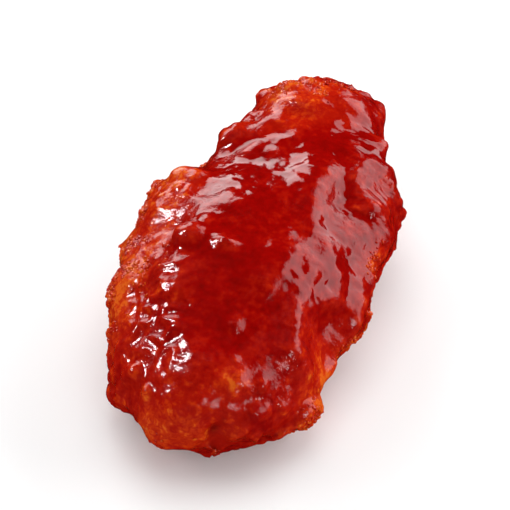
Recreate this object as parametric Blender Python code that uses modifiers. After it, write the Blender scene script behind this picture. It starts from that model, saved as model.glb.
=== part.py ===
"""A breaded chicken wing section in a thick sauce, lying on its flatter side: one closed solid.

Metres, +Z up. +Y runs along the wing from its broad end to its knuckle end, and the origin is
the centre of the box's underside, on the surface that the wing rests on.

The meat, the joint ends and the larger lumps and folds of the crust are ellipsoids, each named
for what it is. They are fused by a voxel remesh, smoothed, given the crust's unevenness by a
displacement, and cut flat where the wing rests.
"""

import math
from typing import NamedTuple

import bmesh
import bpy
from mathutils import Euler, Matrix, Vector

# Driving dimensions, in metres
LENGTH = 0.090
WIDTH = 0.0475
THICKNESS = 0.030

FACE_SIZE = 0.0017  # side of a remeshed face
SMOOTH_PASSES = 7
SMOOTH_FACTOR = 0.5  # how far each pass moves a corner towards its neighbours
CRUST_WAVE = 0.009  # distance from one swell of the crust to the next
CRUST_SWELL = 0.0022  # height range of the swells
SWELL_DEPTH = 1  # finer swells laid over the first
SWELL_MIDDLE = 0.5  # the swells rise and sink about the skin equally
SIT_DEPTH = 0.0012  # how far the underside is cut back to its resting face
PRIMITIVE_RINGS = 20  # rings of faces in each ellipsoid

SAUCE_RED = (0.26, 0.012, 0.004, 1.0)
SAUCE_ROUGHNESS = 0.25


class Mass(NamedTuple):
    """One ellipsoid, sized as shares of the wing: centre and half-sizes along X, Y and Z."""

    name: str
    centre: tuple[float, float, float]
    half: tuple[float, float, float]
    turn: float = 0.0  # degrees about Z
    roll: float = 0.0  # degrees about Y


# Centres and half-sizes are shares of half the width, half the length and half the thickness,
# measured from the middle of the wing's box.
MASSES = (
    Mass("broad meat", (-0.02, -0.14, -0.02), (0.93, 0.66, 0.88), turn=3),
    Mass("broad end", (0.14, -0.59, -0.14), (0.56, 0.35, 0.76), turn=-6),
    Mass("near corner left", (-0.34, -0.54, -0.18), (0.36, 0.28, 0.62), turn=16),
    Mass("near corner right", (0.54, -0.46, -0.16), (0.36, 0.28, 0.68), turn=-8),
    Mass("waist", (0.10, 0.40, 0.02), (0.70, 0.38, 0.80), turn=-2),
    Mass("knuckle", (-0.02, 0.68, 0.02), (0.56, 0.30, 0.84), turn=8),
    Mass("knuckle knob", (0.16, 0.78, 0.24), (0.34, 0.18, 0.54), turn=-16),
    Mass("left shoulder", (-0.52, 0.04, 0.24), (0.44, 0.24, 0.62), turn=22),
    Mass("top plateau", (0.02, -0.08, 0.48), (0.66, 0.46, 0.46), turn=-4, roll=3),
    Mass("right flank", (0.70, 0.10, 0.02), (0.27, 0.50, 0.62), turn=-2),
)

# Lumps and folds of the crust, in the same shares.
LUMPS = (
    Mass("rim fold upper", (0.62, 0.48, 0.46), (0.14, 0.24, 0.24), turn=8),
    Mass("rim fold middle", (0.72, 0.06, 0.48), (0.13, 0.22, 0.22), turn=-12),
    Mass("rim fold lower", (0.64, -0.34, 0.36), (0.14, 0.20, 0.26), turn=10),
    Mass("inner fold upper", (0.34, 0.20, 0.84), (0.13, 0.19, 0.16), turn=16),
    Mass("inner fold lower", (0.42, -0.20, 0.82), (0.14, 0.20, 0.18), turn=-14),
    Mass("flank knot", (0.93, -0.08, -0.05), (0.11, 0.11, 0.26)),
    Mass("flank knot far", (0.88, 0.30, -0.02), (0.12, 0.11, 0.28)),
    Mass("left crag", (-0.88, -0.16, 0.14), (0.14, 0.10, 0.28)),
    Mass("left crag near", (-0.74, -0.38, 0.00), (0.14, 0.09, 0.26)),
    Mass("left crag far", (-0.82, 0.16, 0.18), (0.13, 0.09, 0.24)),
    Mass("end lump left", (-0.10, -0.81, -0.16), (0.22, 0.10, 0.34), turn=14),
    Mass("end lump right", (0.38, -0.77, -0.20), (0.24, 0.10, 0.34), turn=-16),
    Mass("end lump middle", (0.10, -0.66, 0.44), (0.26, 0.12, 0.26)),
    Mass("top bump", (-0.30, -0.38, 0.74), (0.20, 0.10, 0.18), turn=20),
    Mass("knuckle crag", (-0.40, 0.74, 0.32), (0.18, 0.11, 0.30), turn=25),
    Mass("knuckle tip", (0.02, 0.92, 0.16), (0.26, 0.08, 0.36)),
    Mass("saddle fold", (-0.44, 0.46, 0.52), (0.20, 0.09, 0.20), turn=28),
)


def clear_scene() -> None:
    """Remove the objects of the startup scene."""
    for obj in list(bpy.data.objects):
        bpy.data.objects.remove(obj)


def placed(mass: Mass) -> Matrix:
    """The matrix that carries a unit sphere to a mass, in metres."""
    scale = Vector((WIDTH / 2, LENGTH / 2, THICKNESS / 2))
    centre = Vector(mass.centre) * scale + Vector((0, 0, THICKNESS / 2))
    turn = Euler((0, math.radians(mass.roll), math.radians(mass.turn))).to_matrix()
    half = Vector(mass.half) * scale
    return Matrix.Translation(centre) @ turn.to_4x4() @ Matrix.Diagonal((*half, 1))


def heap_of_masses() -> bpy.types.Mesh:
    """A mesh of overlapping ellipsoids, one for each mass."""
    heap = bmesh.new()
    for mass in (*MASSES, *LUMPS):
        bmesh.ops.create_uvsphere(
            heap,
            u_segments=2 * PRIMITIVE_RINGS,
            v_segments=PRIMITIVE_RINGS,
            radius=1,
            matrix=placed(mass),
        )
    mesh = bpy.data.meshes.new("wing")
    heap.to_mesh(mesh)
    heap.free()
    return mesh


def fused(obj: bpy.types.Object) -> bpy.types.Mesh:
    """The object's masses fused into one skin, smoothed and made uneven."""
    remesh = obj.modifiers.new("fuse", "REMESH")
    remesh.mode = "VOXEL"
    remesh.voxel_size = FACE_SIZE
    smooth = obj.modifiers.new("soften", "SMOOTH")
    smooth.factor = SMOOTH_FACTOR
    smooth.iterations = SMOOTH_PASSES
    swell = bpy.data.textures.new("crust swell", "CLOUDS")
    swell.noise_scale = CRUST_WAVE
    swell.noise_depth = SWELL_DEPTH
    uneven = obj.modifiers.new("crust", "DISPLACE")
    uneven.texture = swell
    uneven.texture_coords = "LOCAL"
    uneven.strength = CRUST_SWELL
    uneven.mid_level = SWELL_MIDDLE
    bpy.context.view_layer.update()
    graph = bpy.context.evaluated_depsgraph_get()
    return bpy.data.meshes.new_from_object(obj.evaluated_get(graph), depsgraph=graph)


def cut_to_rest(mesh: bpy.types.Mesh) -> None:
    """Cut the underside flat, and centre the wing over the origin at its driving size."""
    skin = bmesh.new()
    skin.from_mesh(mesh)
    floor = min(vert.co.z for vert in skin.verts) + SIT_DEPTH
    bmesh.ops.bisect_plane(
        skin,
        geom=[*skin.verts, *skin.edges, *skin.faces],
        dist=FACE_SIZE / 1000,
        plane_co=(0, 0, floor),
        plane_no=(0, 0, -1),
        clear_outer=True,
    )
    bmesh.ops.holes_fill(skin, edges=[edge for edge in skin.edges if edge.is_boundary])
    low = Vector([min(vert.co[axis] for vert in skin.verts) for axis in range(3)])
    high = Vector([max(vert.co[axis] for vert in skin.verts) for axis in range(3)])
    size = high - low
    fit = Matrix.Diagonal((WIDTH / size.x, LENGTH / size.y, THICKNESS / size.z, 1))
    centre = Vector(((low.x + high.x) / 2, (low.y + high.y) / 2, low.z))
    bmesh.ops.transform(skin, matrix=fit @ Matrix.Translation(-centre), verts=skin.verts)
    bmesh.ops.triangulate(skin, faces=skin.faces)
    bmesh.ops.recalc_face_normals(skin, faces=skin.faces)
    skin.to_mesh(mesh)
    skin.free()


def sauce() -> bpy.types.Material:
    """The sauce's plain red."""
    material = bpy.data.materials.new("sauce")
    material.use_nodes = True
    shader = material.node_tree.nodes["Principled BSDF"]
    shader.inputs["Base Color"].default_value = SAUCE_RED
    shader.inputs["Roughness"].default_value = SAUCE_ROUGHNESS
    shader.inputs["Metallic"].default_value = 0.0
    return material


def build_wing() -> bpy.types.Object:
    """The wing as one object in its own collection."""
    collection = bpy.data.collections.new("chicken wing")
    bpy.context.scene.collection.children.link(collection)
    wing = bpy.data.objects.new("wing", heap_of_masses())
    collection.objects.link(wing)
    skin = fused(wing)
    wing.modifiers.clear()
    cut_to_rest(skin)
    wing.data = skin
    skin.shade_smooth()
    skin.materials.clear()
    skin.materials.append(sauce())
    return wing


clear_scene()
build_wing()
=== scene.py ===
"""The looks of a breaded chicken wing section in thick, glossy red sauce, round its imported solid.

Metres, +Z up. +Y runs along the wing from its broad end to its knuckle end, and +X across it. A
spot on the wing is given in shares of its box: -1 to 1 across, -1 to 1 along, and 0 to 1 up.

The wing is made as it is cooked. Crumbs and crags of batter are stuck on the meat, folds of skin
are raised on one flank, and sauce is poured on top: it drowns what is low and leaves the high
crumbs with a thin coat. Small crumbs that stand out of the sauce are stuck on last. How deep the
sauce stands is kept on the mesh, and it gives the colour.
"""

import logging
import math
from collections.abc import Callable, Mapping, Sequence
from dataclasses import dataclass
from enum import Enum
from typing import Any, NamedTuple

import bmesh
import bpy
import numpy as np
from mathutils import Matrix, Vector

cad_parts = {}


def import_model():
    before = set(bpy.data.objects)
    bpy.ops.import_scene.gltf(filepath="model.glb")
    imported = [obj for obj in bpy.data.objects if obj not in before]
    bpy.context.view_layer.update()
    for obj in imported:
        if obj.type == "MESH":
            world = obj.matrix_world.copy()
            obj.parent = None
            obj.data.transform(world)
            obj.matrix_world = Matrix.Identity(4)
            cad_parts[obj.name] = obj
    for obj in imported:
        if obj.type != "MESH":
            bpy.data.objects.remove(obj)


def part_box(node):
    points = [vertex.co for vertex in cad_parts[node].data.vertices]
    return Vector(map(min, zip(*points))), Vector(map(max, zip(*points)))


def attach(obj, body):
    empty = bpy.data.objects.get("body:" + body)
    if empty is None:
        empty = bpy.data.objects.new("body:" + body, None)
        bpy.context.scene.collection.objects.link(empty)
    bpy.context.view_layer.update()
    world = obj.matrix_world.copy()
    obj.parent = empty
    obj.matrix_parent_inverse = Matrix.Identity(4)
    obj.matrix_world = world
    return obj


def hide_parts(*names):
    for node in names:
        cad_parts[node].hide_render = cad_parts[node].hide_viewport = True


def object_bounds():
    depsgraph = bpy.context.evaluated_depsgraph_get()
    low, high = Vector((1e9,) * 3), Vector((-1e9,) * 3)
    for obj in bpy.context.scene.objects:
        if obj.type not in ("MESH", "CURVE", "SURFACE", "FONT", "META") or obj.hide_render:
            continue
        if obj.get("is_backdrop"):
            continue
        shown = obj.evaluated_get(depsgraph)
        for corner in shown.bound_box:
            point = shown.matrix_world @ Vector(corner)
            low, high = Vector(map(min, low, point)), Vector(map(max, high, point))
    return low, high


LOG = logging.getLogger("chicken wing")

MM = 0.001
BODY = "root"
WING_NODE = "wing"
NEARLY_ZERO = MM / 1000

# Values that the mesh keeps for its finish, one at each vertex.
SAUCE_DEPTH = "sauce_depth"
# The dent value is painted shade: how dark dents and creases are drawn.
DENT_SHADE = "dent"
WARMTH = "warmth"

Colour = tuple[float, float, float, float]
Spot = tuple[float, float, float]

WHITE: Colour = (1, 1, 1, 1)


# ---------------------------------------------------------------------------------------------
# Shader wiring
# ---------------------------------------------------------------------------------------------


class Wire:
    """An output socket that adds Math nodes when it is used in an expression."""

    def __init__(self, bench: "NodeBench", socket: bpy.types.NodeSocket) -> None:
        """Wrap a socket.

        Args:
            bench: The node tree that new nodes go into.
            socket: The output that the expression starts from.
        """
        self.bench = bench
        self.socket = socket

    def _math(self, operation: str, first: Any, second: Any) -> "Wire":
        """Add one Math node.

        Args:
            operation: The node's operation.
            first: Its first value or link.
            second: Its second value or link.

        Returns:
            The node's result.
        """
        node = self.bench.add("ShaderNodeMath", {"operation": operation}, {0: first, 1: second})
        return Wire(self.bench, node.outputs[0])

    def __add__(self, other: Any) -> "Wire":
        """self + other."""
        return self._math("ADD", self, other)

    def __radd__(self, other: Any) -> "Wire":
        """other + self."""
        return self._math("ADD", other, self)

    def __sub__(self, other: Any) -> "Wire":
        """self - other."""
        return self._math("SUBTRACT", self, other)

    def __rsub__(self, other: Any) -> "Wire":
        """other - self."""
        return self._math("SUBTRACT", other, self)

    def __mul__(self, other: Any) -> "Wire":
        """self * other."""
        return self._math("MULTIPLY", self, other)

    def __rmul__(self, other: Any) -> "Wire":
        """other * self."""
        return self._math("MULTIPLY", other, self)

    def ramp(self, low: float, high: float) -> "Wire":
        """Turn low to high into 0 to 1, held at both ends.

        Args:
            low: The value that becomes 0.
            high: The value that becomes 1.

        Returns:
            The ramped value.
        """
        node = self.bench.add(
            "ShaderNodeMapRange",
            {"interpolation_type": "SMOOTHSTEP", "clamp": True},
            {"Value": self, "From Min": low, "From Max": high},
        )
        return Wire(self.bench, node.outputs[0])


@dataclass(frozen=True)
class Mottling:
    """Soft noise in a finish."""

    wave: float  # the distance from one swell to the next
    detail: float  # how many finer layers are added
    warp: float = 0.0  # how far the swells are twisted


class NodeBench:
    """One material's or world's node tree, and the ways to add to it."""

    def __init__(self, tree: bpy.types.NodeTree) -> None:
        """Start with an empty tree.

        Args:
            tree: The tree to fill.
        """
        self.tree = tree
        tree.nodes.clear()

    def add(
        self,
        kind: str,
        settings: Mapping[str, Any] | None = None,
        sockets: Mapping[str | int, Any] | None = None,
    ) -> bpy.types.Node:
        """Add one node.

        Args:
            kind: The node's type.
            settings: Its properties, set before its sockets. "stops" sets a ramp's stops.
            sockets: Values, wires or sockets for its inputs, by name or number.

        Returns:
            The new node.
        """
        node = self.tree.nodes.new(kind)
        for name, value in (settings or {}).items():
            if name == "stops":
                self._set_stops(node, value)
            else:
                setattr(node, name, value)
        for name, value in (sockets or {}).items():
            target = node.inputs[name]
            source = value.socket if isinstance(value, Wire) else value
            if isinstance(source, bpy.types.NodeSocket):
                self.tree.links.new(source, target)
            else:
                target.default_value = source
        return node

    @staticmethod
    def _set_stops(node: bpy.types.Node, stops: Sequence[tuple[float, Colour]]) -> None:
        """Give a Color Ramp its stops.

        Args:
            node: The ramp.
            stops: Places from 0 to 1 with their colours.
        """
        elements = node.color_ramp.elements
        while len(elements) < len(stops):
            elements.new(1.0)
        for element, (place, colour) in zip(elements, stops):
            element.position = place
            element.color = colour

    def wire(self, kind: str, output: str | int, settings: Any = None, sockets: Any = None) -> Wire:
        """Add one node and take one of its outputs.

        Args:
            kind: The node's type.
            output: The output's name or number.
            settings: As for add.
            sockets: As for add.

        Returns:
            The output.
        """
        return Wire(self, self.add(kind, settings, sockets).outputs[output])

    def attribute(self, name: str) -> Wire:
        """The value of that name at each vertex."""
        return self.wire("ShaderNodeAttribute", "Fac", {"attribute_name": name})

    def place(self) -> Wire:
        """The point on the surface, in metres."""
        return self.wire("ShaderNodeTexCoord", "Object")

    def noise(self, mottling: Mottling) -> Wire:
        """Add noise, from 0 to 1 about 0.5.

        Args:
            mottling: The kind of noise.

        Returns:
            The noise.
        """
        return self.wire(
            "ShaderNodeTexNoise",
            "Fac",
            None,
            {
                "Vector": self.place(),
                "Scale": 1 / mottling.wave,
                "Detail": mottling.detail,
                "Distortion": mottling.warp,
            },
        )

    def mix(self, share: Any, first: Any, second: Any) -> Wire:
        """Mix two colours.

        Args:
            share: How much of the second colour there is.
            first: The first colour.
            second: The second colour.

        Returns:
            The mixed colour.
        """
        return self.wire(
            "ShaderNodeMix", 2, {"data_type": "RGBA"}, {0: share, 6: first, 7: second}
        )


# ---------------------------------------------------------------------------------------------
# Numbers over a surface
# ---------------------------------------------------------------------------------------------


class Swell:
    """A seeded random field over space that changes smoothly from -1 to 1."""

    CELLS = 32

    def __init__(self, wave: float, seed: int) -> None:
        """Draw the field's values.

        Args:
            wave: The distance between its knots, in metres.
            seed: The random seed.
        """
        self.wave = wave
        self.knots = np.random.default_rng(seed).uniform(-1, 1, (self.CELLS,) * 3)

    def at(self, points: np.ndarray) -> np.ndarray:
        """Read the field.

        Args:
            points: Points in metres, one in each row.

        Returns:
            One value for each point.
        """
        scaled = points / self.wave
        cell = np.floor(scaled).astype(int)
        part = scaled - cell
        part = part * part * part * (part * (part * 6 - 15) + 10)
        total = np.zeros(len(points))
        for corner in np.ndindex(2, 2, 2):
            share = np.prod(np.where(corner, part, 1 - part), axis=1)
            index = (cell + corner) % self.CELLS
            total += share * self.knots[index[:, 0], index[:, 1], index[:, 2]]
        return total


@dataclass(frozen=True)
class Relief:
    """One layer of random relief over space."""

    wave: float
    height: float  # what a swell of 1 gives
    seed: int  # added to the wing's own seed
    ridge: float | None = None  # None for round swells, or how high sharp ridges stand

    def at(self, points: np.ndarray, seed: int) -> np.ndarray:
        """Read the layer.

        Args:
            points: Points in metres, one in each row.
            seed: The wing's own seed.

        Returns:
            The layer's height at each point.
        """
        swell = Swell(self.wave, seed + self.seed).at(points)
        if self.ridge is not None:
            swell = self.ridge - np.abs(swell)
        return swell * self.height


@dataclass
class Box:
    """The wing's box, which turns points into shares and back."""

    half_width: float
    half_length: float
    height: float

    @classmethod
    def of_node(cls, node: str) -> "Box":
        """Take a node's box.

        Args:
            node: The node's name.

        Returns:
            Its box, which stands over the origin.
        """
        low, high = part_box(node)
        return cls((high.x - low.x) / 2, (high.y - low.y) / 2, high.z - low.z)

    @property
    def scale(self) -> np.ndarray:
        """What one share is, in metres, along each axis."""
        return np.array((self.half_width, self.half_length, self.height))

    def shares(self, points: np.ndarray) -> np.ndarray:
        """Points in metres as shares of the box."""
        return points / self.scale

    def points(self, spots: Sequence[Spot]) -> np.ndarray:
        """Spots in shares as points in metres."""
        return np.array(spots, float) * self.scale


@dataclass(frozen=True)
class Patch:
    """A soft-edged part of the surface round one spot."""

    name: str  # for whoever reads the list
    spot: Spot
    reach: Spot
    amount: float

    def weight(self, shares: np.ndarray) -> np.ndarray:
        """How much of the patch each place has.

        Args:
            shares: Places in shares of the box.

        Returns:
            The amount at the spot, falling to 0 about twice its reach away.
        """
        away = (shares - np.array(self.spot)) / np.array(self.reach)
        return self.amount * np.exp(-np.sum(away * away, axis=1))


def soft_step(values: np.ndarray, low: float, high: float) -> np.ndarray:
    """Turn low to high into 0 to 1 with soft ends.

    Args:
        values: The values to turn.
        low: The value that becomes 0.
        high: The value that becomes 1.

    Returns:
        The turned values.
    """
    part = np.clip((values - low) / (high - low), 0, 1)
    return part * part * (3 - 2 * part)


def soft_top(first: np.ndarray, second: np.ndarray, blur: float) -> np.ndarray:
    """The higher of two heights, rounded where they cross.

    Args:
        first: One height at each point.
        second: The other height at each point.
        blur: How wide the rounding is, in metres.

    Returns:
        The rounded higher height.
    """
    return blur * np.logaddexp(first / blur, second / blur)


class Skin:
    """A mesh as arrays: its points, its neighbours and its normals."""

    def __init__(self, mesh: bpy.types.Mesh) -> None:
        """Read a mesh.

        Args:
            mesh: The mesh to read.
        """
        self.mesh = mesh
        self.points = np.zeros(len(mesh.vertices) * 3)
        mesh.vertices.foreach_get("co", self.points)
        self.points = self.points.reshape(-1, 3)
        edges = np.zeros(len(mesh.edges) * 2, int)
        mesh.edges.foreach_get("vertices", edges)
        edges = edges.reshape(-1, 2)
        self.start = np.concatenate((edges[:, 0], edges[:, 1]))
        self.end = np.concatenate((edges[:, 1], edges[:, 0]))
        self.links = np.maximum(np.bincount(self.start, minlength=len(self.points)), 1)

    def around(self, values: np.ndarray) -> np.ndarray:
        """The mean of each vertex's neighbours.

        Args:
            values: One row or one value for each vertex.

        Returns:
            The means, in the same shape.
        """
        count = len(self.points)
        columns = values.reshape(count, -1)
        sums = [np.bincount(self.start, column[self.end], count) for column in columns.T]
        return (np.stack(sums, axis=1) / self.links[:, None]).reshape(values.shape)

    def smoothed(self, values: np.ndarray, passes: int) -> np.ndarray:
        """Values spread to their neighbours.

        Args:
            values: One row or one value for each vertex.
            passes: How many times they are spread.

        Returns:
            The spread values.
        """
        for _ in range(passes):
            values = (values + self.around(values)) / 2
        return values

    def normals(self, points: np.ndarray) -> np.ndarray:
        """Vertex normals of the mesh with its vertices at other points.

        Args:
            points: Where the vertices are.

        Returns:
            One unit normal for each vertex.
        """
        self.put(points)
        normals = np.zeros(len(points) * 3)
        self.mesh.vertex_normals.foreach_get("vector", normals)
        return normals.reshape(-1, 3)

    def put(self, points: np.ndarray) -> None:
        """Move the mesh's vertices to these points."""
        self.mesh.vertices.foreach_set("co", points.astype(np.float32).ravel())
        self.mesh.update()

    def keep(self, name: str, values: np.ndarray) -> None:
        """Keep one value at each vertex, under this name."""
        attribute = self.mesh.attributes.new(name, "FLOAT", "POINT")
        attribute.data.foreach_set("value", values.astype(np.float32))


def new_object(name: str, data: bpy.types.ID) -> bpy.types.Object:
    """Add an object to the scene.

    Args:
        name: The object's name.
        data: Its mesh, lamp or camera.

    Returns:
        The new object.
    """
    made = bpy.data.objects.new(name, data)
    bpy.context.scene.collection.objects.link(made)
    return made


def apply_modifiers(obj: bpy.types.Object) -> None:
    """Put an object's modifiers into its mesh.

    Args:
        obj: The object, which has none left.
    """
    bpy.context.view_layer.update()
    graph = bpy.context.evaluated_depsgraph_get()
    mesh = bpy.data.meshes.new_from_object(obj.evaluated_get(graph), depsgraph=graph)
    obj.modifiers.clear()
    obj.data = mesh


# ---------------------------------------------------------------------------------------------
# Crumbs and crags of batter
# ---------------------------------------------------------------------------------------------


class BitSize(NamedTuple):
    """How large a bit of batter is across, in metres, and how finely its ball is divided."""

    smallest: float
    largest: float
    divisions: int


class Bit(Enum):
    """A kind of batter bit."""

    FLECK = BitSize(0.4 * MM, 0.95 * MM, 2)
    GRAIN = BitSize(0.9 * MM, 2.2 * MM, 2)
    CRUMB = BitSize(1.8 * MM, 4.2 * MM, 3)
    CRAG = BitSize(4.0 * MM, 8.5 * MM, 4)


@dataclass(frozen=True)
class BatterBits:
    """Irregular bits of fried batter, stuck on a surface."""

    kind: Bit
    count: int
    seed: int  # added to the wing's own seed
    sunk: float  # how much of a bit's half thickness is in the surface
    flatness: tuple[float, float]
    stretch: tuple[float, float] = (0.65, 1.4)
    smallness: float = 2.2  # above 1, more bits are near the smallest size
    lobes: int = 5
    lobe_sharpness: float = 2.0
    lobe_height: tuple[float, float] = (-0.2, 0.5)
    tilt: float = 0.22

    def ball(self) -> tuple[np.ndarray, np.ndarray]:
        """A unit ball that each bit is shaped from.

        Returns:
            Its vertices and its triangles.
        """
        ball = bmesh.new()
        bmesh.ops.create_icosphere(ball, subdivisions=self.kind.value.divisions, radius=1)
        corners = np.array([vert.co[:] for vert in ball.verts])
        faces = np.array([[vert.index for vert in face.verts] for face in ball.faces])
        ball.free()
        return corners, faces

    def shapes(
        self,
        draw: np.random.Generator,
        corners: np.ndarray,
        places: np.ndarray,
        normals: np.ndarray,
    ) -> np.ndarray:
        """Shape a bit at each place.

        Args:
            draw: The random numbers.
            corners: The unit ball's vertices.
            places: Where the bits are stuck.
            normals: The surface's normal there.

        Returns:
            The corners of all bits, as an array of bits by corners by 3.
        """
        count = len(places)
        smallest, largest, _ = self.kind.value
        size = smallest + (largest - smallest) * draw.random(count) ** self.smallness
        knobs = draw.normal(size=(count, self.lobes, 3))
        knobs /= np.linalg.norm(knobs, axis=2, keepdims=True)
        facing = np.clip(np.einsum("vk,nlk->nvl", corners, knobs), 0, 1) ** self.lobe_sharpness
        height = draw.uniform(*self.lobe_height, (count, 1, self.lobes))
        radius = 1 + np.sum(facing * height, axis=2)
        side = np.cross(normals, draw.normal(size=(count, 3)))
        side /= np.linalg.norm(side, axis=1, keepdims=True)
        frame = np.stack((side, np.cross(normals, side), normals), axis=2)
        spread = draw.uniform(*self.stretch, (count, 3))
        spread[:, 2] = draw.uniform(*self.flatness, count)
        local = corners[None] * radius[..., None] * spread[:, None]
        lean = draw.normal(0, self.tilt, (count, 2))
        local[..., 2] += local[..., 0] * lean[:, None, 0] + local[..., 1] * lean[:, None, 1]
        world = np.einsum("nij,nvj->nvi", frame, local) * (size / 2)[:, None, None]
        lift = size / 2 * spread[:, 2] * (1 - 2 * self.sunk)
        return world + (places + normals * lift[:, None])[:, None]

    def mesh(
        self, draw: np.random.Generator, places: np.ndarray, normals: np.ndarray
    ) -> bpy.types.Mesh:
        """Make all bits as one mesh.

        Args:
            draw: The random numbers.
            places: Where the bits are stuck.
            normals: The surface's normal there.

        Returns:
            The joined mesh.
        """
        corners, faces = self.ball()
        shapes = self.shapes(draw, corners, places, normals).reshape(-1, 3)
        offsets = np.arange(len(places))[:, None, None] * len(corners)
        triangles = (faces[None] + offsets).reshape(-1, 3)
        mesh = bpy.data.meshes.new(f"batter {self.kind.name.lower()}s")
        mesh.from_pydata(shapes.tolist(), [], triangles.tolist())
        return mesh

    def stuck_on(
        self, host: bpy.types.Mesh, seed: int, share_at: Callable[[np.ndarray], np.ndarray]
    ) -> bpy.types.Mesh:
        """Stick the bits on a mesh.

        Args:
            host: The mesh that they are stuck on.
            seed: The wing's own seed.
            share_at: How many of them a point takes, from 0 up.

        Returns:
            The bits as one mesh.
        """
        host.calc_loop_triangles()
        triangles = np.zeros(len(host.loop_triangles) * 3, int)
        host.loop_triangles.foreach_get("vertices", triangles)
        corners = Skin(host).points[triangles.reshape(-1, 3)]
        cross = np.cross(corners[:, 1] - corners[:, 0], corners[:, 2] - corners[:, 0])
        area = np.linalg.norm(cross, axis=1)
        chance = area * share_at(corners.mean(axis=1))
        chance /= chance.sum()
        draw = np.random.default_rng(seed + self.seed)
        picked = draw.choice(len(area), self.count, p=chance)
        share = draw.dirichlet((1, 1, 1), self.count)
        places = np.einsum("nk,nkj->nj", share, corners[picked])
        return self.mesh(draw, places, cross[picked] / area[picked][:, None])


@dataclass(frozen=True)
class Fold:
    """A ridge of skin and sauce along a line of spots."""

    name: str  # for whoever reads the list
    spots: tuple[Spot, ...]
    width: float
    height: float

    def rise(self, points: np.ndarray, box: Box, wander: np.ndarray) -> np.ndarray:
        """How far the fold lifts each point.

        Args:
            points: Points in metres.
            box: The wing's box.
            wander: How far each point's distance is off, so that the ridge isn't even.

        Returns:
            The lift in metres.
        """
        line = box.points(self.spots)
        nearest = np.full(len(points), np.inf)
        for first, second in zip(line, line[1:]):
            step = second - first
            along = np.clip((points - first) @ step / (step @ step), 0, 1)
            gap = np.linalg.norm(points - first - along[:, None] * step, axis=1)
            nearest = np.minimum(nearest, gap)
        away = np.maximum(nearest + wander, 0) / self.width
        return self.height * np.exp(-away * away)


# ---------------------------------------------------------------------------------------------
# The finish
# ---------------------------------------------------------------------------------------------


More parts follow.
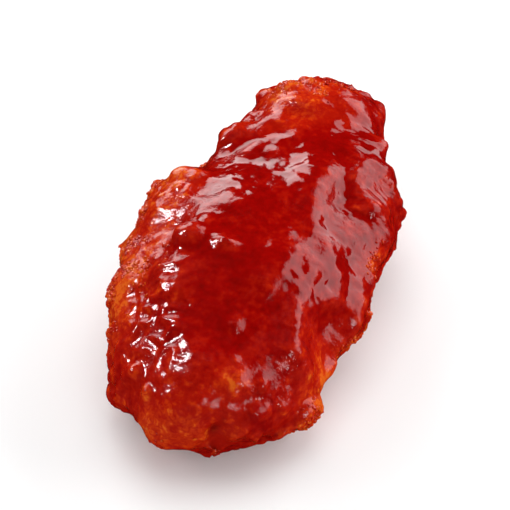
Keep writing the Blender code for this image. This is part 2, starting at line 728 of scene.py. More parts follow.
@dataclass(frozen=True)
class SaucedCrustFinish:
    """Red sauce of changing depth over fried batter, wet where it is deep.

    Its tone runs from about 0, dry orange batter, to about 1, the darkest sauce.
    """

    tones: tuple[tuple[float, Colour], ...] = (
        (0.02, (0.72, 0.110, 0.009, 1)),  # dry crumb
        (0.16, (0.60, 0.036, 0.003, 1)),  # thin coat
        (0.36, (0.44, 0.009, 0.002, 1)),  # orange red
        (0.66, (0.30, 0.0014, 0.0008, 1)),  # deep red
        (0.95, (0.20, 0.0010, 0.0005, 1)),  # dark red
    )
    # Painted shade: the near-black red that dents and creases are darkened towards.
    dent_shade_red: Colour = (0.075, 0.0008, 0.0005, 1)

    mottle: Mottling = Mottling(3.2 * MM, 3, 0.6)
    blotch: Mottling = Mottling(9 * MM, 2, 0.4)
    fleck: Mottling = Mottling(1.3 * MM, 1)
    grain: Mottling = Mottling(0.55 * MM, 2)
    polish: Mottling = Mottling(6.4 * MM, 2)
    ripple: Mottling = Mottling(1.6 * MM, 2, 0.4)

    # How far each thing moves the tone.
    plain_tone: float = 0.54
    depth_tone: float = 0.36
    warm_tone: float = 0.36
    speck_tone: float = 0.36
    mottle_tone: float = 0.8
    blotch_tone: float = 0.4
    fleck_tone: float = 0.9
    grain_tone: float = 0.3
    evenness: float = 0.85  # how much of the unevenness deep sauce hides

    speck_edge: tuple[float, float] = (0.50, 0.64)
    # How the painted shade in dents ramps in, and how far it darkens the colour.
    dent_shade_edge: tuple[float, float] = (0.25, 1.0)
    dent_shade_share: float = 0.75
    bare_edge: tuple[float, float] = (0.08, 0.45)  # sauce depths that bare crust ends at

    wet_roughness: float = 0.07
    crumb_roughness: float = 0.13
    roughness_spread: float = 0.08
    wet_coat: float = 0.10
    crumb_coat: float = 0.05
    coat_roughness: float = 0.06
    coat_ior: float = 1.5
    ior: float = 1.36
    subsurface: float = 0.05
    subsurface_scale: float = 1.5 * MM
    subsurface_radius: Spot = (1.0, 0.25, 0.12)

    wet_grain: float = 0.04
    bare_grain: float = 0.6
    ripple_share: float = 0.35
    bump_strength: float = 0.35
    bump_height: float = 0.4 * MM

    def tone(self, bench: NodeBench, depth: Wire, grain: Wire) -> Wire:
        """Work out the tone.

        Args:
            bench: The material's nodes.
            depth: The sauce's depth.
            grain: The finest noise.

        Returns:
            The tone, with orange flecks where the batter is warm.
        """
        warmth = bench.attribute(WARMTH)
        fleck = bench.noise(self.fleck)
        uneven = (
            (bench.noise(self.mottle) - 0.5) * self.mottle_tone
            + (bench.noise(self.blotch) - 0.5) * self.blotch_tone
            + (fleck - 0.5) * self.fleck_tone
            + (grain - 0.5) * self.grain_tone
        )
        orange = warmth * (self.warm_tone + fleck.ramp(*self.speck_edge) * self.speck_tone)
        thick = depth * (1 - warmth)
        return (
            self.plain_tone
            + thick * self.depth_tone
            + uneven * (1 - thick * self.evenness)
            - orange
        )

    def material(self, name: str) -> bpy.types.Material:
        """Make the finish.

        Args:
            name: The material's name.

        Returns:
            The material.
        """
        material = bpy.data.materials.new(name)
        material.use_nodes = True
        bench = NodeBench(material.node_tree)
        depth = bench.attribute(SAUCE_DEPTH)
        grain = bench.noise(self.grain)
        sauce = bench.wire(
            "ShaderNodeValToRGB",
            "Color",
            {"stops": self.tones},
            {"Fac": self.tone(bench, depth, grain)},
        )
        # Painted shade in dents and creases, mixed into the base colour.
        painted_dent_shade = bench.attribute(DENT_SHADE).ramp(*self.dent_shade_edge) * self.dent_shade_share
        bare = 1 - depth.ramp(*self.bare_edge)
        roughness = (
            self.wet_roughness
            + bare * (self.crumb_roughness - self.wet_roughness)
            + (bench.noise(self.polish) - 0.5) * self.roughness_spread
        )
        relief = (
            grain * (self.wet_grain + bare * self.bare_grain)
            + bench.noise(self.ripple) * self.ripple_share
        )
        bump = bench.wire(
            "ShaderNodeBump",
            "Normal",
            None,
            {"Strength": self.bump_strength, "Distance": self.bump_height, "Height": relief},
        )
        shader = bench.add(
            "ShaderNodeBsdfPrincipled",
            None,
            {
                "Base Color": bench.mix(painted_dent_shade, sauce, self.dent_shade_red),
                "Roughness": roughness,
                "Coat Weight": self.wet_coat + bare * (self.crumb_coat - self.wet_coat),
                "Coat Roughness": self.coat_roughness,
                "Coat IOR": self.coat_ior,
                "IOR": self.ior,
                "Subsurface Weight": self.subsurface,
                "Subsurface Scale": self.subsurface_scale,
                "Subsurface Radius": self.subsurface_radius,
                "Normal": bump,
            },
        )
        bench.add("ShaderNodeOutputMaterial", None, {"Surface": shader.outputs["BSDF"]})
        return material


@dataclass(frozen=True)
class PlainFinish:
    """One matt colour that fades out round the wing, for what it stands on."""

    colour: Colour
    roughness: float
    glow: float
    fade_from: float
    fade_to: float

    def material(self, name: str) -> bpy.types.Material:
        """Make the finish.

        Args:
            name: The material's name.

        Returns:
            The material.
        """
        material = bpy.data.materials.new(name)
        material.use_nodes = True
        bench = NodeBench(material.node_tree)
        away = bench.wire(
            "ShaderNodeVectorMath", "Value", {"operation": "LENGTH"}, {0: bench.place()}
        )
        shader = bench.add(
            "ShaderNodeBsdfPrincipled",
            None,
            {
                "Base Color": self.colour,
                "Roughness": self.roughness,
                "Specular IOR Level": 0.0,
                "Emission Color": self.colour,
                "Emission Strength": self.glow,
                "Alpha": 1 - away.ramp(self.fade_from, self.fade_to),
            },
        )
        bench.add("ShaderNodeOutputMaterial", None, {"Surface": shader.outputs["BSDF"]})
        return material


# ---------------------------------------------------------------------------------------------
# The wing
# ---------------------------------------------------------------------------------------------


@dataclass
class SaucedWing:
    """The whole wing: meat under batter, folds of skin, and the sauce poured over them."""

    box: Box
    seed: int = 7
    finish: SaucedCrustFinish = SaucedCrustFinish()

    # The meat under the batter.
    weld: float = 0.01 * MM
    pull_in: float = 0.5 * MM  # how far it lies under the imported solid's skin
    meat_passes: int = 2
    calm_passes: int = 16

    # The batter, and the skin that fuses it with the meat.
    crags: BatterBits = BatterBits(Bit.CRAG, 64, 1, 0.80, (0.55, 0.85))
    crusts: tuple[BatterBits, ...] = (
        BatterBits(Bit.CRUMB, 200, 2, 0.74, (0.35, 0.8)),
        BatterBits(Bit.GRAIN, 380, 3, 0.64, (0.4, 0.9)),
    )
    voxel: float = 0.42 * MM
    soften: float = 0.5
    soften_passes: int = 3

    # How coarse the crust is.
    crust_mean: float = 0.36
    crust_drift: Relief = Relief(9 * MM, 0.34, 0)
    crust_most: float = 1.2

    # The crust's relief. It is read at points that are pushed about, so that it doesn't line up.
    near_passes: int = 40
    push: tuple[Relief, ...] = (
        Relief(4 * MM, 1.6 * MM, 20),
        Relief(4 * MM, 1.6 * MM, 21),
        Relief(4 * MM, 1.6 * MM, 22),
    )
    crust_ridges: tuple[Relief, ...] = (
        Relief(3.6 * MM, 0.85 * MM, 7, 0.5),
        Relief(1.7 * MM, 0.48 * MM, 8, 0.5),
    )
    crust_grain: Relief = Relief(0.8 * MM, 0.14 * MM, 9)
    crag_relief: tuple[Relief, ...] = (
        Relief(8 * MM, 2.4 * MM, 12, 0.30),
        Relief(4.6 * MM, 0.8 * MM, 13),
    )
    fold_wander: Relief = Relief(3.2 * MM, 0.8 * MM, 4)
    fold_unevenness: Relief = Relief(3.5 * MM, 0.35, 5)

    # How high the sauce stands, and how it settles.
    base_level: float = -0.30 * MM
    level_drift: Relief = Relief(6 * MM, 0.30 * MM, 6)
    level_most: float = 0.9 * MM
    level_share: float = 0.7
    pool_blur: float = 0.10 * MM
    wet_depth: tuple[float, float] = (0.05 * MM, 0.4 * MM)
    wet_passes: int = 3
    wet_pull: float = 0.6

    # The sauce's skin.
    slow_ripple: Relief = Relief(2.6 * MM, 0.20 * MM, 10)
    sheet_calm: float = 0.7  # how much of the slow ripple a smooth sheet loses
    quick_ripple: Relief = Relief(1.2 * MM, 0.06 * MM, 11)
    waves: Relief = Relief(2.3 * MM, 0.75 * MM, 16, 0.3)
    wrinkles: Relief = Relief(1.3 * MM, 0.34 * MM, 15, 0.4)
    wrinkle_run: Spot = (0.3, 1.0, 0.3)  # a small share draws the wrinkles out that way
    wrinkle_wander: Relief = Relief(5 * MM, 1.0 * MM, 14)
    spike_passes: int = 14
    spike_limit: float = 0.9 * MM  # how far a crumb stands out of the skin round it

    # What the finish is told.
    full_depth: float = 0.9 * MM  # sauce this deep hides the batter
    # Painted shade: dents, which sink below the broad skin, and fine creases are darkened in the
    # colour.
    broad_passes: int = 260
    dent_shade_passes: int = 2
    dent_shade_depth: tuple[float, float] = (0.15 * MM, 1.3 * MM)
    fine_passes: int = 10
    crease_shade_depth: tuple[float, float] = (0.03 * MM, 0.22 * MM)
    crease_shade_share: float = 0.7
    crest_height: tuple[float, float] = (0.0, 0.16 * MM)
    flat_warmth: float = 0.75  # how much of a warm patch's warmth its low places have
    crest_warmth: float = 0.14  # the warmth of crests everywhere

    # The small crumbs that stand out of the sauce.
    flecks: BatterBits = BatterBits(Bit.FLECK, 1500, 31, 0.60, (0.4, 0.8))
    fleck_looks_seed: int = 32
    fleck_depth: tuple[float, float] = (0.0, 0.3)
    fleck_warmth: tuple[float, float] = (0.55, 1.0)
    crumbless: float = 0.25  # places that are this crumbly or less have none
    cluster: Relief = Relief(3.5 * MM, 1.0, 30)
    cluster_edge: tuple[float, float] = (-0.25, 0.45)

    # Where the meat's own lumps are evened out.
    calmed: tuple[Patch, ...] = (
        Patch("top to knuckle", (0.32, 0.24, 0.92), (0.34, 0.26, 0.30), 1.2),
        Patch("right of the top", (0.46, -0.22, 0.86), (0.26, 0.26, 0.26), 0.9),
        Patch("right flank", (0.86, 0.10, 0.50), (0.26, 0.50, 0.34), 0.8),
    )

    # Where the crust is coarse (positive) or smooth (negative).
    crusty: tuple[Patch, ...] = (
        Patch("left flank", (-0.90, -0.28, 0.66), (0.36, 0.50, 0.36), -0.25),
        Patch("left near quarter", (-0.40, -0.60, 0.76), (0.34, 0.26, 0.30), -0.50),
        Patch("near end", (0.05, -0.98, 0.40), (0.60, 0.20, 0.50), -0.25),
        Patch("near end top", (0.45, -0.74, 0.70), (0.24, 0.16, 0.30), 0.15),
        Patch("knuckle", (-0.10, 0.80, 0.75), (0.50, 0.24, 0.50), 0.15),
        Patch("far side", (-0.70, 0.55, 0.30), (0.50, 0.45, 0.45), 0.60),
        Patch("right low edge", (0.98, -0.30, 0.15), (0.30, 0.70, 0.24), 0.70),
        Patch("underside", (0.00, 0.00, 0.00), (1.20, 1.20, 0.14), -0.30),
        Patch("smooth top", (0.08, -0.22, 0.98), (0.46, 0.42, 0.30), -1.20),
        Patch("smooth hollow upper", (0.83, -0.02, 0.74), (0.22, 0.20, 0.24), -0.80),
        Patch("smooth hollow lower", (0.83, -0.33, 0.60), (0.20, 0.16, 0.24), -0.80),
        Patch("knuckle pool", (0.10, 0.55, 0.90), (0.26, 0.20, 0.24), -0.90),
        Patch("saddle", (-0.40, 0.22, 0.86), (0.34, 0.20, 0.22), -0.70),
        Patch("knuckle right side", (0.45, 0.58, 0.80), (0.22, 0.26, 0.28), -0.90),
    )

    # Where the whole crust is lumpy (on top of 1 everywhere).
    craggy: tuple[Patch, ...] = (
        Patch("top", (0.05, -0.15, 1.00), (0.60, 0.60, 0.40), -1.2),
        Patch("left flank", (-0.90, -0.25, 0.62), (0.40, 0.55, 0.34), -1.0),
        Patch("near end top", (0.10, -0.80, 0.75), (0.60, 0.30, 0.34), -1.0),
        Patch("right flank top", (0.80, -0.05, 0.75), (0.30, 0.50, 0.25), -0.9),
        Patch("right flank low", (0.85, -0.50, 0.55), (0.25, 0.30, 0.25), -0.9),
        Patch("knuckle top", (0.00, 0.60, 0.95), (0.50, 0.34, 0.30), -0.9),
        Patch("knuckle left", (-0.70, 0.72, 0.62), (0.34, 0.34, 0.40), -0.8),
        Patch("near end foot", (0.00, -1.00, 0.15), (0.50, 0.16, 0.30), -0.7),
        Patch("underside", (0.00, 0.00, 0.00), (1.20, 1.20, 0.14), -0.9),
    )

    # Where the sauce's skin is wrinkled down the flank.
    wrinkled: tuple[Patch, ...] = (
        Patch("right flank", (0.80, 0.00, 0.75), (0.30, 0.70, 0.40), 1.0),
        Patch("knuckle right side", (0.48, 0.55, 0.80), (0.26, 0.30, 0.34), 0.9),
        Patch("shoulder", (-0.40, 0.20, 0.88), (0.40, 0.20, 0.26), 0.25),
    )

    # Where the sauce's skin is wavy.
    wavy: tuple[Patch, ...] = (
        Patch("left near quarter", (-0.30, -0.62, 0.80), (0.36, 0.26, 0.34), 1.0),
    )

    # Where the sauce stands in smooth sheets.
    sheets: tuple[Patch, ...] = (
        Patch("shoulder", (-0.36, 0.16, 0.90), (0.36, 0.20, 0.26), 1.0),
        Patch("middle", (0.10, -0.20, 0.98), (0.30, 0.36, 0.26), 0.6),
        Patch("right flank", (0.76, 0.05, 0.80), (0.26, 0.40, 0.30), 0.5),
        Patch("right flank low", (0.76, -0.45, 0.66), (0.22, 0.30, 0.28), 0.8),
    )

    # Where small crumbs show through the sauce.
    crumbly: tuple[Patch, ...] = (
        Patch("left flank", (-0.84, -0.12, 0.74), (0.26, 0.30, 0.30), 0.8),
        Patch("left flank low", (-0.84, -0.55, 0.50), (0.26, 0.26, 0.34), 0.7),
        Patch("left near quarter", (-0.50, -0.45, 0.84), (0.22, 0.22, 0.22), 0.35),
        Patch("near end", (0.10, -0.98, 0.40), (0.60, 0.14, 0.34), 0.35),
        Patch("knuckle", (-0.14, 0.76, 0.86), (0.34, 0.18, 0.34), 0.45),
        Patch("knuckle end", (-0.10, 1.00, 0.50), (0.50, 0.16, 0.40), 0.5),
        Patch("far side", (-0.80, 0.45, 0.40), (0.40, 0.40, 0.40), 0.6),
        Patch("right notch", (0.93, 0.09, 0.62), (0.12, 0.10, 0.16), 0.5),
        Patch("right low edge", (0.98, -0.30, 0.22), (0.30, 0.70, 0.26), 0.6),
    )

    folds: tuple[Fold, ...] = (
        Fold(
            "inner fold",
            ((0.39, 0.33, 0.91), (0.42, 0.14, 0.98), (0.46, 0.01, 0.92), (0.62, -0.06, 0.84),
             (0.76, -0.12, 0.78), (0.81, -0.18, 0.70)),
            2.1 * MM, 1.0 * MM,
        ),
        Fold(
            "outer fold",
            ((0.46, 0.49, 0.86), (0.58, 0.34, 0.83), (0.82, 0.25, 0.74), (0.93, 0.18, 0.55),
             (0.97, 0.00, 0.50), (0.97, -0.15, 0.53), (0.89, -0.28, 0.40), (0.89, -0.46, 0.35)),
            2.3 * MM, 1.1 * MM,
        ),
        Fold(
            "low fold",
            ((0.64, -0.18, 0.83), (0.62, -0.37, 0.81), (0.72, -0.52, 0.74), (0.85, -0.56, 0.54)),
            2.3 * MM, 0.8 * MM,
        ),
        Fold(
            "cross fold",
            ((0.73, -0.26, 0.74), (0.85, -0.19, 0.63), (0.97, -0.15, 0.53)),
            1.7 * MM, 0.8 * MM,
        ),
        Fold(
            "knuckle fold",
            ((-0.46, 0.60, 0.74), (-0.20, 0.52, 0.86), (0.00, 0.44, 0.90)),
            1.0 * MM, 0.6 * MM,
        ),
        Fold(
            "saddle fold",
            ((-0.60, 0.30, 0.76), (-0.34, 0.30, 0.84), (-0.06, 0.33, 0.90)),
            1.1 * MM, 0.6 * MM,
        ),
    )

    # Single lumps and hollows, in millimetres up or down.
    lumps: tuple[Patch, ...] = (
        Patch("arc lump", (-0.03, -0.27, 0.96), (0.12, 0.040, 0.2), 2.3),
        Patch("pale bump", (0.28, -0.57, 0.82), (0.06, 0.045, 0.1), 1.6),
        Patch("orange bump", (0.45, -0.77, 0.68), (0.11, 0.07, 0.14), 1.3),
        Patch("squiggle bump", (-0.13, -0.66, 0.80), (0.10, 0.045, 0.12), 0.9),
        Patch("squiggle bump low", (-0.30, -0.74, 0.67), (0.10, 0.05, 0.12), 0.9),
        Patch("squiggle bump high", (-0.27, -0.54, 0.88), (0.08, 0.05, 0.10), 0.8),
        Patch("end bump left", (0.06, -0.94, 0.54), (0.20, 0.08, 0.20), 1.5),
        Patch("end bump right", (0.62, -0.84, 0.36), (0.14, 0.10, 0.20), 1.2),
        Patch("end corner left", (-0.50, -0.84, 0.34), (0.20, 0.10, 0.20), 0.8),
        Patch("left edge bump", (-0.86, -0.43, 0.57), (0.10, 0.06, 0.12), 0.9),
        Patch("top spot", (0.24, -0.20, 0.96), (0.08, 0.04, 0.10), 0.35),
        Patch("knuckle ridge", (-0.14, 0.64, 0.92), (0.16, 0.035, 0.12), 0.8),
        Patch("far flank groove", (-0.92, 0.30, 0.45), (0.20, 0.07, 0.50), -1.8),
        Patch("far flank knob", (-0.80, 0.52, 0.55), (0.14, 0.09, 0.20), 2.0),
        Patch("far low knob", (-0.94, -0.02, 0.30), (0.16, 0.08, 0.14), 1.8),
        Patch("left low crease", (-0.96, -0.34, 0.30), (0.20, 0.05, 0.30), -1.4),
        Patch("knuckle end knob", (-0.20, 1.00, 0.40), (0.20, 0.10, 0.16), 1.8),
        Patch("knuckle end crease", (0.16, 1.00, 0.50), (0.08, 0.12, 0.34), -1.4),
        Patch("right low knob", (1.00, 0.32, 0.25), (0.16, 0.10, 0.16), 1.6),
        Patch("right low crease", (1.00, 0.02, 0.20), (0.20, 0.05, 0.26), -1.6),
        Patch("right low shelf", (1.00, -0.25, 0.24), (0.16, 0.16, 0.09), 1.6),
        Patch("near end foot", (-0.05, -1.00, 0.15), (0.70, 0.20, 0.45), -2.8),
        Patch("foot right", (0.45, -0.92, 0.20), (0.14, 0.10, 0.18), -1.6),
        Patch("foot left", (-0.04, -0.98, 0.26), (0.18, 0.10, 0.16), 2.2),
        Patch("left side", (-1.00, -0.20, 0.50), (0.16, 0.40, 0.40), -1.0),
        Patch("waist left", (-0.55, 0.36, 0.62), (0.24, 0.16, 0.36), 1.8),
        Patch("under waist", (0.10, 0.36, 0.00), (1.00, 0.16, 0.34), -2.2),
        Patch("near end dent", (0.44, -0.94, 0.44), (0.09, 0.06, 0.12), -1.8),
        Patch("flank hollow upper", (0.83, -0.02, 0.77), (0.14, 0.13, 0.16), -1.7),
        Patch("flank hollow lower", (0.83, -0.33, 0.61), (0.10, 0.08, 0.12), -1.4),
        Patch("left shoulder knob", (-0.44, -0.20, 0.93), (0.10, 0.06, 0.16), -1.1),
    )

    # Where painted shade is added to hollows, darkening them.
    painted_dent_shade: tuple[Patch, ...] = (
        Patch("near end dent", (0.44, -0.93, 0.48), (0.08, 0.06, 0.10), 1.1),
        Patch("flank hollow upper", (0.83, -0.02, 0.77), (0.10, 0.10, 0.14), 0.5),
    )

    # Where the sauce stands higher (positive) or lower (negative), in millimetres.
    poured: tuple[Patch, ...] = (
        Patch("top pool", (0.08, -0.20, 0.98), (0.56, 0.50, 0.36), 0.95),
        Patch("right flank", (0.80, -0.05, 0.66), (0.34, 0.52, 0.36), 0.75),
        Patch("knuckle pool", (0.12, 0.56, 0.90), (0.34, 0.24, 0.30), 0.80),
        Patch("knuckle right side", (0.45, 0.60, 0.78), (0.26, 0.30, 0.34), 0.70),
        Patch("saddle", (-0.42, 0.22, 0.84), (0.40, 0.22, 0.28), 0.70),
        Patch("near end top", (0.20, -0.66, 0.78), (0.40, 0.24, 0.30), 0.45),
        Patch("near end foot", (0.20, -0.98, 0.25), (0.60, 0.16, 0.30), 0.45),
        Patch("underside", (0.00, 0.00, 0.00), (1.20, 1.20, 0.18), 0.35),
        Patch("left flank", (-0.80, -0.30, 0.64), (0.30, 0.36, 0.34), -0.25),
        Patch("knuckle tip", (-0.12, 0.82, 0.80), (0.34, 0.16, 0.34), -0.20),
    )

    # Where thin sauce lets the batter's orange through.
    warm: tuple[Patch, ...] = (
        Patch("left flank", (-0.86, -0.16, 0.74), (0.28, 0.30, 0.32), 1.3),
        Patch("near end right", (0.50, -0.92, 0.40), (0.14, 0.10, 0.20), 0.7),
        Patch("left flank top", (-0.66, -0.12, 0.88), (0.18, 0.24, 0.22), 1.2),
        Patch("right flank foot", (0.90, -0.50, 0.42), (0.12, 0.14, 0.18), 1.0),
        Patch("right notch", (0.92, 0.09, 0.62), (0.08, 0.07, 0.10), 1.2),
        Patch("left near quarter", (-0.66, -0.56, 0.62), (0.26, 0.24, 0.30), 0.8),
        Patch("near end left", (-0.02, -0.97, 0.44), (0.40, 0.14, 0.34), 1.0),
        Patch("near end bump", (0.46, -0.77, 0.68), (0.13, 0.09, 0.12), 0.7),
        Patch("knuckle", (-0.18, 0.70, 0.90), (0.34, 0.18, 0.30), 1.3),
        Patch("knuckle right", (0.30, 0.66, 0.90), (0.10, 0.08, 0.14), 0.5),
        Patch("top spot", (0.22, -0.20, 0.97), (0.12, 0.06, 0.12), 0.3),
        Patch("right low edge", (0.98, -0.40, 0.20), (0.24, 0.40, 0.24), 0.7),
        Patch("far side", (-0.75, 0.50, 0.40), (0.40, 0.40, 0.40), 0.5),
    )

    def amount(self, patches: Sequence[Patch], points: np.ndarray) -> np.ndarray:
        """What the patches add up to.

        Args:
            patches: The patches.
            points: Points in metres.

        Returns:
            Their amounts, added up at each point.
        """
        shares = self.box.shares(points)
        return np.sum([patch.weight(shares) for patch in patches], axis=0)

    def layered(self, layers: Sequence[Relief], points: np.ndarray) -> np.ndarray:
        """What the layers of relief add up to at each point."""
        return np.sum([layer.at(points, self.seed) for layer in layers], axis=0)

    def meat(self) -> bpy.types.Mesh:
        """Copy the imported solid's skin, a little smaller.

        Returns:
            The closed mesh under the batter.
        """
        work = bmesh.new()
        work.from_mesh(bpy.data.objects[WING_NODE].data)
        bmesh.ops.remove_doubles(work, verts=work.verts, dist=self.weld)
        mesh = bpy.data.meshes.new("meat")
        work.to_mesh(mesh)
        work.free()
        skin = Skin(mesh)
        soft = skin.smoothed(skin.points, self.meat_passes)
        calm = skin.smoothed(soft, self.calm_passes)
        share = np.clip(self.amount(self.calmed, soft), 0, 1)
        soft = soft + (calm - soft) * share[:, None]
        skin.put(soft - skin.normals(soft) * self.pull_in)
        return mesh

    def crustiness(self, points: np.ndarray) -> np.ndarray:
        """How coarse the crust is at each point.

        Args:
            points: Points in metres.

        Returns:
            0 where it is smooth, and about 1 where it is coarse.
        """
        drift = self.crust_drift.at(points, self.seed)
        coarse = self.crust_mean + drift + self.amount(self.crusty, points)
        return np.clip(coarse, 0, self.crust_most)

    def cragginess(self, points: np.ndarray) -> np.ndarray:
        """How lumpy the whole crust is at each point.

        Args:
            points: Points in metres.

        Returns:
            0 where it is even, and 1 where it has big crags.
        """
        return np.clip(1 + self.amount(self.craggy, points), 0, 1)

    def crumbliness(self, points: np.ndarray) -> np.ndarray:
        """How many small crumbs show at each point.

        Args:
            points: Points in metres.

        Returns:
            0 where the sauce hides them, and about 1 where there are most.
        """
        cluster = soft_step(self.cluster.at(points, self.seed), *self.cluster_edge)
        return np.clip(self.amount(self.crumbly, points) - self.crumbless, 0, 1) * cluster

    def battered(self) -> bpy.types.Object:
        """Fuse the meat and its batter into one fine skin.

        Returns:
            The fused object.
        """
        meat = self.meat()
        work = bmesh.new()
        work.from_mesh(meat)
        work.from_mesh(self.crags.stuck_on(meat, self.seed, self.cragginess))
        for bits in self.crusts:
            work.from_mesh(bits.stuck_on(meat, self.seed, self.crustiness))
        mesh = bpy.data.meshes.new("sauced wing")
        work.to_mesh(mesh)
        work.free()
        made = new_object("sauced_wing", mesh)
        fuse = made.modifiers.new("fuse", "REMESH")
        fuse.mode = "VOXEL"
        fuse.voxel_size = self.voxel
        soften = made.modifiers.new("soften", "SMOOTH")
        soften.factor = self.soften
        soften.iterations = self.soften_passes
        apply_modifiers(made)
        return made

    def raised(self, skin: Skin) -> np.ndarray:
        """Lift the folds, the lumps and the crust's relief out of the battered skin.

        Args:
            skin: The battered skin.

        Returns:
            The lifted vertices.
        """
        calm = skin.smoothed(skin.points, self.near_passes)
        normals = skin.normals(calm)
        wander = self.fold_wander.at(calm, self.seed)
        folds = np.max([fold.rise(calm, self.box, wander) for fold in self.folds], axis=0)
        folds *= 1 + self.fold_unevenness.at(calm, self.seed)
        pushed = calm + np.stack([layer.at(calm, self.seed) for layer in self.push], axis=1)
        crust = self.layered(self.crust_ridges, pushed) + self.crust_grain.at(calm, self.seed)
        crust *= self.crustiness(calm)
        crags = self.layered(self.crag_relief, pushed) * self.cragginess(calm)
        lumps = self.amount(self.lumps, calm) * MM
        return skin.points + normals * (folds + lumps + crust + crags)[:, None]

    def level(self, points: np.ndarray) -> np.ndarray:
        """How high the sauce stands over the calm skin.

        Args:
            points: Points of the calm skin, in metres.

        Returns:
            The sauce's level at each point, in metres.
        """
        level = self.base_level + self.amount(self.poured, points) * MM
        level += self.level_drift.at(points, self.seed)
        return np.minimum(level, self.level_most) * self.level_share

    def ripples(self, points: np.ndarray) -> np.ndarray:
        """How the sauce's skin ripples, waves and wrinkles.

        Args:
            points: Points of the calm skin, in metres.

        Returns:
            The lift at each point, in metres.
        """
        sheet = np.clip(self.amount(self.sheets, points), 0, 1)
        ripple = self.slow_ripple.at(points, self.seed) * (1 - self.sheet_calm * sheet)
        ripple += self.quick_ripple.at(points, self.seed)
        ripple += self.waves.at(points, self.seed) * self.amount(self.wavy, points)
        wander = self.wrinkle_wander.at(points, self.seed)
        run = points * np.array(self.wrinkle_run) + wander[:, None]
        wrinkled = np.clip(self.amount(self.wrinkled, points), 0, 1)
        return ripple + self.wrinkles.at(run, self.seed) * wrinkled

    def trimmed(self, skin: Skin, points: np.ndarray) -> np.ndarray:
        """Draw in what stands far out of the skin round it.

        Args:
            skin: The mesh.
            points: Its vertices.

        Returns:
            The vertices, none further out than the spike limit.
        """
        soft = skin.smoothed(points, self.spike_passes)
        spike = points - soft
        length = np.linalg.norm(spike, axis=1, keepdims=True)
        kept = np.tanh(length / self.spike_limit) * self.spike_limit / (length + NEARLY_ZERO)
        return soft + spike * kept

    def poured_over(self, skin: Skin) -> None:
        """Pour the sauce on, and keep on the mesh what the finish is told.

        Args:
            skin: The battered skin.
        """
        points = self.raised(skin)
        calm = skin.smoothed(points, self.near_passes)
        normals = skin.normals(calm)
        height = np.sum((points - calm) * normals, axis=1)
        depth = soft_top(height, self.level(calm), self.pool_blur) - height
        points = points + normals * depth[:, None]
        wet = soft_step(depth, *self.wet_depth)[:, None]
        for _ in range(self.wet_passes):
            points = points + (skin.around(points) - points) * self.wet_pull * wet
        points = self.trimmed(skin, points + normals * self.ripples(calm)[:, None])
        broad = skin.smoothed(points, self.broad_passes)
        # How far each point lies below the broad skin; it drives the painted shade in dents.
        sink = np.sum((broad - points) * skin.normals(broad), axis=1)
        points[:, 2] = np.maximum(points[:, 2], 0)
        skin.put(points)
        fine = np.sum((points - skin.smoothed(points, self.fine_passes)) * normals, axis=1)
        # Painted shade: fine creases and places sunk below the broad skin are darkened, and the
        # listed hollows more.
        crease = soft_step(-fine, *self.crease_shade_depth) * self.crease_shade_share
        dent = soft_step(skin.smoothed(sink, self.dent_shade_passes), *self.dent_shade_depth)
        dent = np.maximum(dent, crease) + self.amount(self.painted_dent_shade, calm)
        crest = soft_step(fine, *self.crest_height)
        warm = np.clip(self.amount(self.warm, calm), 0, 1)
        warm *= self.flat_warmth + (1 - self.flat_warmth) * crest
        skin.keep(SAUCE_DEPTH, np.clip(skin.smoothed(depth, 1) / self.full_depth, 0, 1))
        skin.keep(DENT_SHADE, np.clip(dent, 0, 1))
        skin.keep(WARMTH, np.clip(warm + self.crest_warmth * crest, 0, 1))

    def crumbs(self, host: bpy.types.Mesh) -> bpy.types.Object:
        """Stick on the small crumbs that stand out of the sauce.

        Args:
            host: The wing's finished skin.

        Returns:
            The crumbs as one object.
        """
        mesh = self.flecks.stuck_on(host, self.seed, self.crumbliness)
        draw = np.random.default_rng(self.seed + self.fleck_looks_seed)
        count = self.flecks.count
        corners = len(mesh.vertices) // count
        skin = Skin(mesh)
        skin.keep(SAUCE_DEPTH, np.repeat(draw.uniform(*self.fleck_depth, count), corners))
        skin.keep(WARMTH, np.repeat(draw.uniform(*self.fleck_warmth, count), corners))
        # The crumbs get no painted shade.
        skin.keep(DENT_SHADE, np.zeros(len(mesh.vertices)))
        return new_object("crumbs", mesh)

    def build(self) -> list[bpy.types.Object]:
        """Build and dress the wing.

        Returns:
            The finished pieces.
        """
        wing = self.battered()
        self.poured_over(Skin(wing.data))
        crumbs = self.crumbs(wing.data)
        finish = self.finish.material("sauced crust")
        for piece in (wing, crumbs):
            piece.data.shade_smooth()
            piece.data.materials.append(finish)
            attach(piece, BODY)
        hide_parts(WING_NODE)
        return [wing, crumbs]


# ---------------------------------------------------------------------------------------------
# The studio
# ---------------------------------------------------------------------------------------------


def direction(azimuth: float, elevation: float) -> Vector:
    """The way to something round the wing.

    Args:
        azimuth: Degrees from +Y towards +X.
        elevation: Degrees up from the floor.

    Returns:
        The unit vector from the wing.
    """
    turn, rise = math.radians(azimuth), math.radians(elevation)
    flat = math.cos(rise)
    return Vector((math.sin(turn) * flat, math.cos(turn) * flat, math.sin(rise)))


@dataclass(frozen=True)
class Softbox:
    """A white area lamp that faces the wing."""

    name: str
    azimuth: float
    elevation: float
    distance: float
    width: float
    height: float
    radiance: float
    glints: bool = True  # whether it shows in the gloss
    fills: bool = True  # whether it lights the colour

    def build(self, target: Vector) -> bpy.types.Object:
        """Place the lamp.

        Args:
            target: The point that it faces.

        Returns:
            The lamp.
        """
        lamp = bpy.data.lights.new(self.name, "AREA")
        lamp.shape = "RECTANGLE"
        lamp.size = self.width
        lamp.size_y = self.height
        lamp.energy = self.radiance * math.pi * self.width * self.height
        made = new_object(self.name, lamp)
        towards = direction(self.azimuth, self.elevation)
        made.location = target + towards * self.distance
        made.rotation_euler = towards.to_track_quat("Z", "Y").to_euler()
        made.visible_glossy = self.glints
        made.visible_diffuse = self.fills
        made.visible_camera = False
        return made


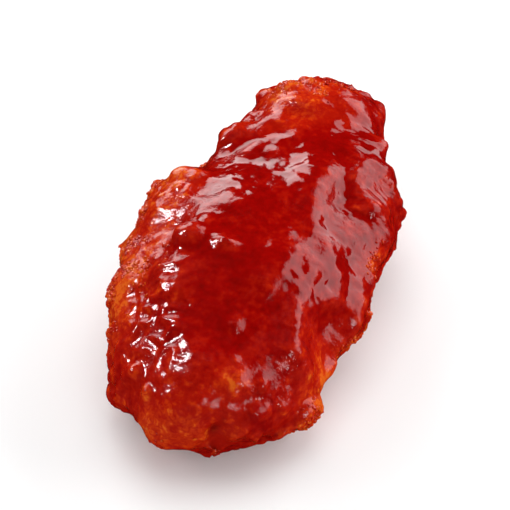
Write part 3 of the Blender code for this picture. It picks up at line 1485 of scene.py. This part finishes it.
@dataclass
class Studio:
    """The floor, the lamps, the surroundings and the camera."""

    target: Vector
    floor_radius: float = 1.1
    floor_sides: int = 96
    floor_finish: PlainFinish = PlainFinish(
        colour=(0.90, 0.90, 0.90, 1), roughness=0.8, glow=0.12, fade_from=0.25, fade_to=0.9
    )
    backdrop_radius: float = 2.6
    backdrop_sides: int = 48
    backdrop_white: float = 0.97
    surround: float = 0.28
    camera_azimuth: float = 22.0  # degrees from -Y towards +X
    camera_elevation: float = 45.0
    camera_distance: float = 0.55
    view_width: float = 0.092
    sensor: float = 36.0
    nearest: float = 0.01
    lamps: tuple[Softbox, ...] = (
        Softbox("right back softbox", 46, 23, 0.9, 1.35, 0.68, 2.9),
        Softbox("left back softbox", -46, 21, 1.0, 0.65, 0.46, 5.0),
        Softbox("right strip", 118, 26, 0.9, 0.05, 0.30, 30, fills=False),
        Softbox("left strip", -97, 44, 0.8, 0.11, 0.28, 90, fills=False),
        Softbox("left fill", -100, 42, 0.9, 0.45, 0.45, 2.6, glints=False),
        Softbox("front fill", 175, 24, 1.0, 0.6, 0.4, 1.6, glints=False),
        Softbox("top fill", 0, 80, 1.0, 0.8, 0.8, 2.0, glints=False),
    )

    def floor(self) -> bpy.types.Object:
        """Lay the floor.

        Returns:
            The floor, which isn't part of the wing.
        """
        work = bmesh.new()
        bmesh.ops.create_circle(
            work, cap_ends=True, segments=self.floor_sides, radius=self.floor_radius
        )
        mesh = bpy.data.meshes.new("floor")
        work.to_mesh(mesh)
        work.free()
        mesh.materials.append(self.floor_finish.material("pale floor"))
        made = new_object("floor", mesh)
        made.visible_glossy = False
        made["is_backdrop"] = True
        return made

    def backdrop(self) -> bpy.types.Object:
        """Hang the white backdrop, which only the camera sees.

        Returns:
            The backdrop, which isn't part of the wing.
        """
        work = bmesh.new()
        bmesh.ops.create_uvsphere(
            work,
            u_segments=self.backdrop_sides,
            v_segments=self.backdrop_sides // 2,
            radius=self.backdrop_radius,
        )
        mesh = bpy.data.meshes.new("backdrop")
        work.to_mesh(mesh)
        work.free()
        material = bpy.data.materials.new("white backdrop")
        material.use_nodes = True
        bench = NodeBench(material.node_tree)
        glow = bench.add(
            "ShaderNodeEmission", None, {"Color": WHITE, "Strength": self.backdrop_white}
        )
        bench.add("ShaderNodeOutputMaterial", None, {"Surface": glow.outputs[0]})
        mesh.materials.append(material)
        made = new_object("backdrop", mesh)
        made.visible_diffuse = False
        made.visible_glossy = False
        made.visible_shadow = False
        made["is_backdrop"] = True
        return made

    def surroundings(self) -> None:
        """Make the white surroundings, which light the wing but don't glint on it."""
        world = bpy.data.worlds.new("white surroundings")
        world.use_nodes = True
        bench = NodeBench(world.node_tree)
        light = bench.add(
            "ShaderNodeBackground", None, {"Color": WHITE, "Strength": self.surround}
        )
        bench.add("ShaderNodeOutputWorld", None, {"Surface": light.outputs[0]})
        world.cycles_visibility.glossy = False
        bpy.context.scene.world = world

    def camera(self) -> bpy.types.Object:
        """Place the camera.

        Returns:
            The camera.
        """
        lens = bpy.data.cameras.new("camera")
        lens.sensor_width = self.sensor
        lens.lens = self.sensor * self.camera_distance / self.view_width
        lens.clip_start = self.nearest
        made = new_object("camera", lens)
        back = direction(180 - self.camera_azimuth, self.camera_elevation)
        made.location = self.target + back * self.camera_distance
        made.rotation_euler = back.to_track_quat("Z", "Y").to_euler()
        bpy.context.scene.camera = made
        return made

    def build(self) -> list[bpy.types.Object]:
        """Set up the studio.

        Returns:
            The floor, the backdrop, the lamps and the camera.
        """
        bpy.context.scene.view_settings.view_transform = "Standard"
        self.surroundings()
        lamps = [lamp.build(self.target) for lamp in self.lamps]
        return [self.floor(), self.backdrop(), *lamps, self.camera()]


def main() -> None:
    """Build the wing and the studio round it."""
    logging.basicConfig(level=logging.INFO, format="%(name)s: %(message)s")
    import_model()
    cad_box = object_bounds()
    for piece in SaucedWing(Box.of_node(WING_NODE)).build():
        LOG.info("%s: %d faces", piece.name, len(piece.data.polygons))
    for piece in Studio((cad_box[0] + cad_box[1]) / 2).build():
        LOG.info("%s placed", piece.name)


if __name__ == "__main__":
    main()
